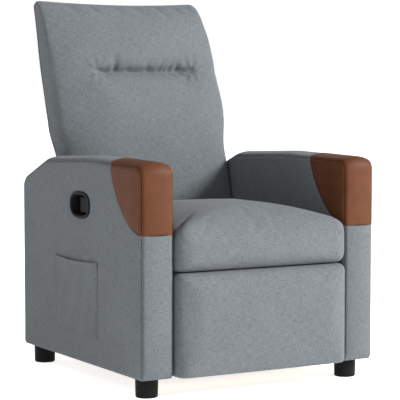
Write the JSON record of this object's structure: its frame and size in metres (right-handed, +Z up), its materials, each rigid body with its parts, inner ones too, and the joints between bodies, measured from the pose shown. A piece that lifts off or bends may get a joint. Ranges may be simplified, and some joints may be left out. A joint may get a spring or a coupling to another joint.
{
  "type": "recliner armchair",
  "caption": "Manual recliner armchair with padded arms, tufted back, a swinging seat, reclining back, fold-out footrest, side pocket and a release lever set in the arm.",
  "frame": {"origin": "middle of the chair's outline on the floor, with the back upright and the footrest closed", "axes": "+Z up, the sitter faces -Y, +X to the sitter's left"},
  "size_m": [0.6865, 0.8588, 1.0073],
  "materials": {
    "frame_wood": "plywood, unfinished",
    "body_fabric": "heathered woven upholstery cloth",
    "cushion_fabric": "heathered woven upholstery cloth over foam",
    "cap_leather": "soft brown leather with a light sheen",
    "foot_plastic": "moulded, matt",
    "handle_plastic": "moulded, satin",
    "cable_sheath": "smooth sheath",
    "dust_cloth": "thin non-woven lining",
    "mechanism_steel": "stamped steel, dark satin paint",
    "bright_steel": "zinc-plated",
    "spring_wire": "drawn wire"
  },
  "bodies": {
    "base": {"arm_frame_left": "frame_wood", "arm_frame_right": "frame_wood", "arm_cover_left": "body_fabric", "arm_cover_right": "body_fabric", "arm_leather_left": "cap_leather", "arm_leather_right": "cap_leather", "side_pocket": "body_fabric", "foot_front_left": "foot_plastic", "foot_front_right": "foot_plastic", "foot_rear_left": "foot_plastic", "foot_rear_right": "foot_plastic", "foot_bolts": "bright_steel", "front_stretcher": "frame_wood", "rear_rail": "frame_wood", "rear_panel": "body_fabric", "base_rails": "frame_wood", "base_plate_left": "mechanism_steel", "base_plate_right": "mechanism_steel", "base_fasteners": "bright_steel", "handle_cup": "handle_plastic", "lever_pin": "bright_steel", "lever_spring": "spring_wire", "release_cable": "cable_sheath"},
    "lever": {"release_lever": "handle_plastic"},
    "cam": {"release_cam": "mechanism_steel"},
    "rear_swing": {"rear_swing_links": "mechanism_steel"},
    "front_swing": {"front_swing_links": "mechanism_steel"},
    "seat": {"seat_side_rails": "frame_wood", "seat_cross_rails": "frame_wood", "seat_springs": "spring_wire", "seat_spring_clips": "cable_sheath", "seat_dust_cover": "dust_cloth", "seat_plate_left": "mechanism_steel", "seat_plate_right": "mechanism_steel", "seat_bolts": "bright_steel", "seat_rivets": "bright_steel", "seat_cushion": "cushion_fabric"},
    "backrest": {"back_stiles": "frame_wood", "back_cross_rails": "frame_wood", "back_springs": "spring_wire", "back_bracket_left": "mechanism_steel", "back_bracket_right": "mechanism_steel", "back_bolts": "bright_steel", "back_cushion": "cushion_fabric", "back_border": "body_fabric", "back_panel": "body_fabric"},
    "long_arms": {"long_links": "mechanism_steel", "torque_tube": "mechanism_steel", "long_link_rivets": "bright_steel"},
    "rear_arms": {"rear_links": "mechanism_steel"},
    "cross_arms": {"cross_links": "mechanism_steel", "cross_link_rivets": "bright_steel"},
    "outer_arms": {"outer_links": "mechanism_steel", "outer_link_rivets": "bright_steel"},
    "footrest": {"footrest_bracket_left": "mechanism_steel", "footrest_bracket_right": "mechanism_steel", "footrest_bolts": "bright_steel", "footrest_board": "frame_wood", "footrest_pad": "cushion_fabric"}
  },
  "joints": [
    {"name": "lever_pull", "type": "hinge", "parent": "base", "child": "lever", "pos_m": [-0.33, -0.09843, 0.46], "axis": [0, 0, 1], "range_deg": [0, 28], "stiffness_Nm_per_rad": 0.6},
    {"name": "cam_turn", "type": "hinge", "parent": "base", "child": "cam", "pos_m": [0, -0.06583, 0.095], "axis": [1, 0, 0], "range_deg": [0, 10.01]},
    {"name": "rear_swing_turn", "type": "hinge", "parent": "base", "child": "rear_swing", "pos_m": [0, 0.07858, 0.14538], "axis": [1, 0, 0], "range_deg": [0, 40.01]},
    {"name": "seat_level", "type": "hinge", "parent": "rear_swing", "child": "seat", "pos_m": [0, 0.11257, 0.25], "axis": [1, 0, 0], "range_deg": [-40.01, 0]},
    {"name": "front_swing_turn", "type": "hinge", "parent": "seat", "child": "front_swing", "pos_m": [0, -0.01743, 0.25], "axis": [1, 0, 0], "range_deg": [0, 40.01]},
    {"name": "back_recline", "type": "hinge", "parent": "seat", "child": "backrest", "pos_m": [0, 0.19857, 0.385], "axis": [-1, 0, 0], "range_deg": [0, 35]},
    {"name": "footrest_open", "type": "hinge", "parent": "seat", "child": "long_arms", "pos_m": [0, -0.27143, 0.335], "axis": [-1, 0, 0], "range_deg": [0, 85]},
    {"name": "cross_arm_turn", "type": "hinge", "parent": "long_arms", "child": "cross_arms", "pos_m": [0, -0.17743, 0.17], "axis": [-1, 0, 0], "range_deg": [-85.01, 0]},
    {"name": "footrest_turn", "type": "hinge", "parent": "cross_arms", "child": "footrest", "pos_m": [0, -0.32643, 0.254], "axis": [-1, 0, 0], "range_deg": [0, 85.01]},
    {"name": "outer_arm_turn", "type": "hinge", "parent": "long_arms", "child": "outer_arms", "pos_m": [0, -0.14773, 0.11787], "axis": [-1, 0, 0], "range_deg": [-85.01, 0]},
    {"name": "rear_arm_turn", "type": "hinge", "parent": "seat", "child": "rear_arms", "pos_m": [0, -0.19303, 0.2908], "axis": [-1, 0, 0], "range_deg": [0, 85.01]}
  ],
  "couplings": [
    {"joint": "cam_turn", "follows": "lever_pull", "ratio": 0.35714},
    {"joint": "rear_swing_turn", "follows": "back_recline", "ratio": 1.1429},
    {"joint": "seat_level", "follows": "back_recline", "ratio": -1.1429},
    {"joint": "front_swing_turn", "follows": "back_recline", "ratio": 1.1429},
    {"joint": "cross_arm_turn", "follows": "footrest_open", "ratio": -1},
    {"joint": "footrest_turn", "follows": "footrest_open", "ratio": 1},
    {"joint": "outer_arm_turn", "follows": "footrest_open", "ratio": -1},
    {"joint": "rear_arm_turn", "follows": "footrest_open", "ratio": 1}
  ]
}
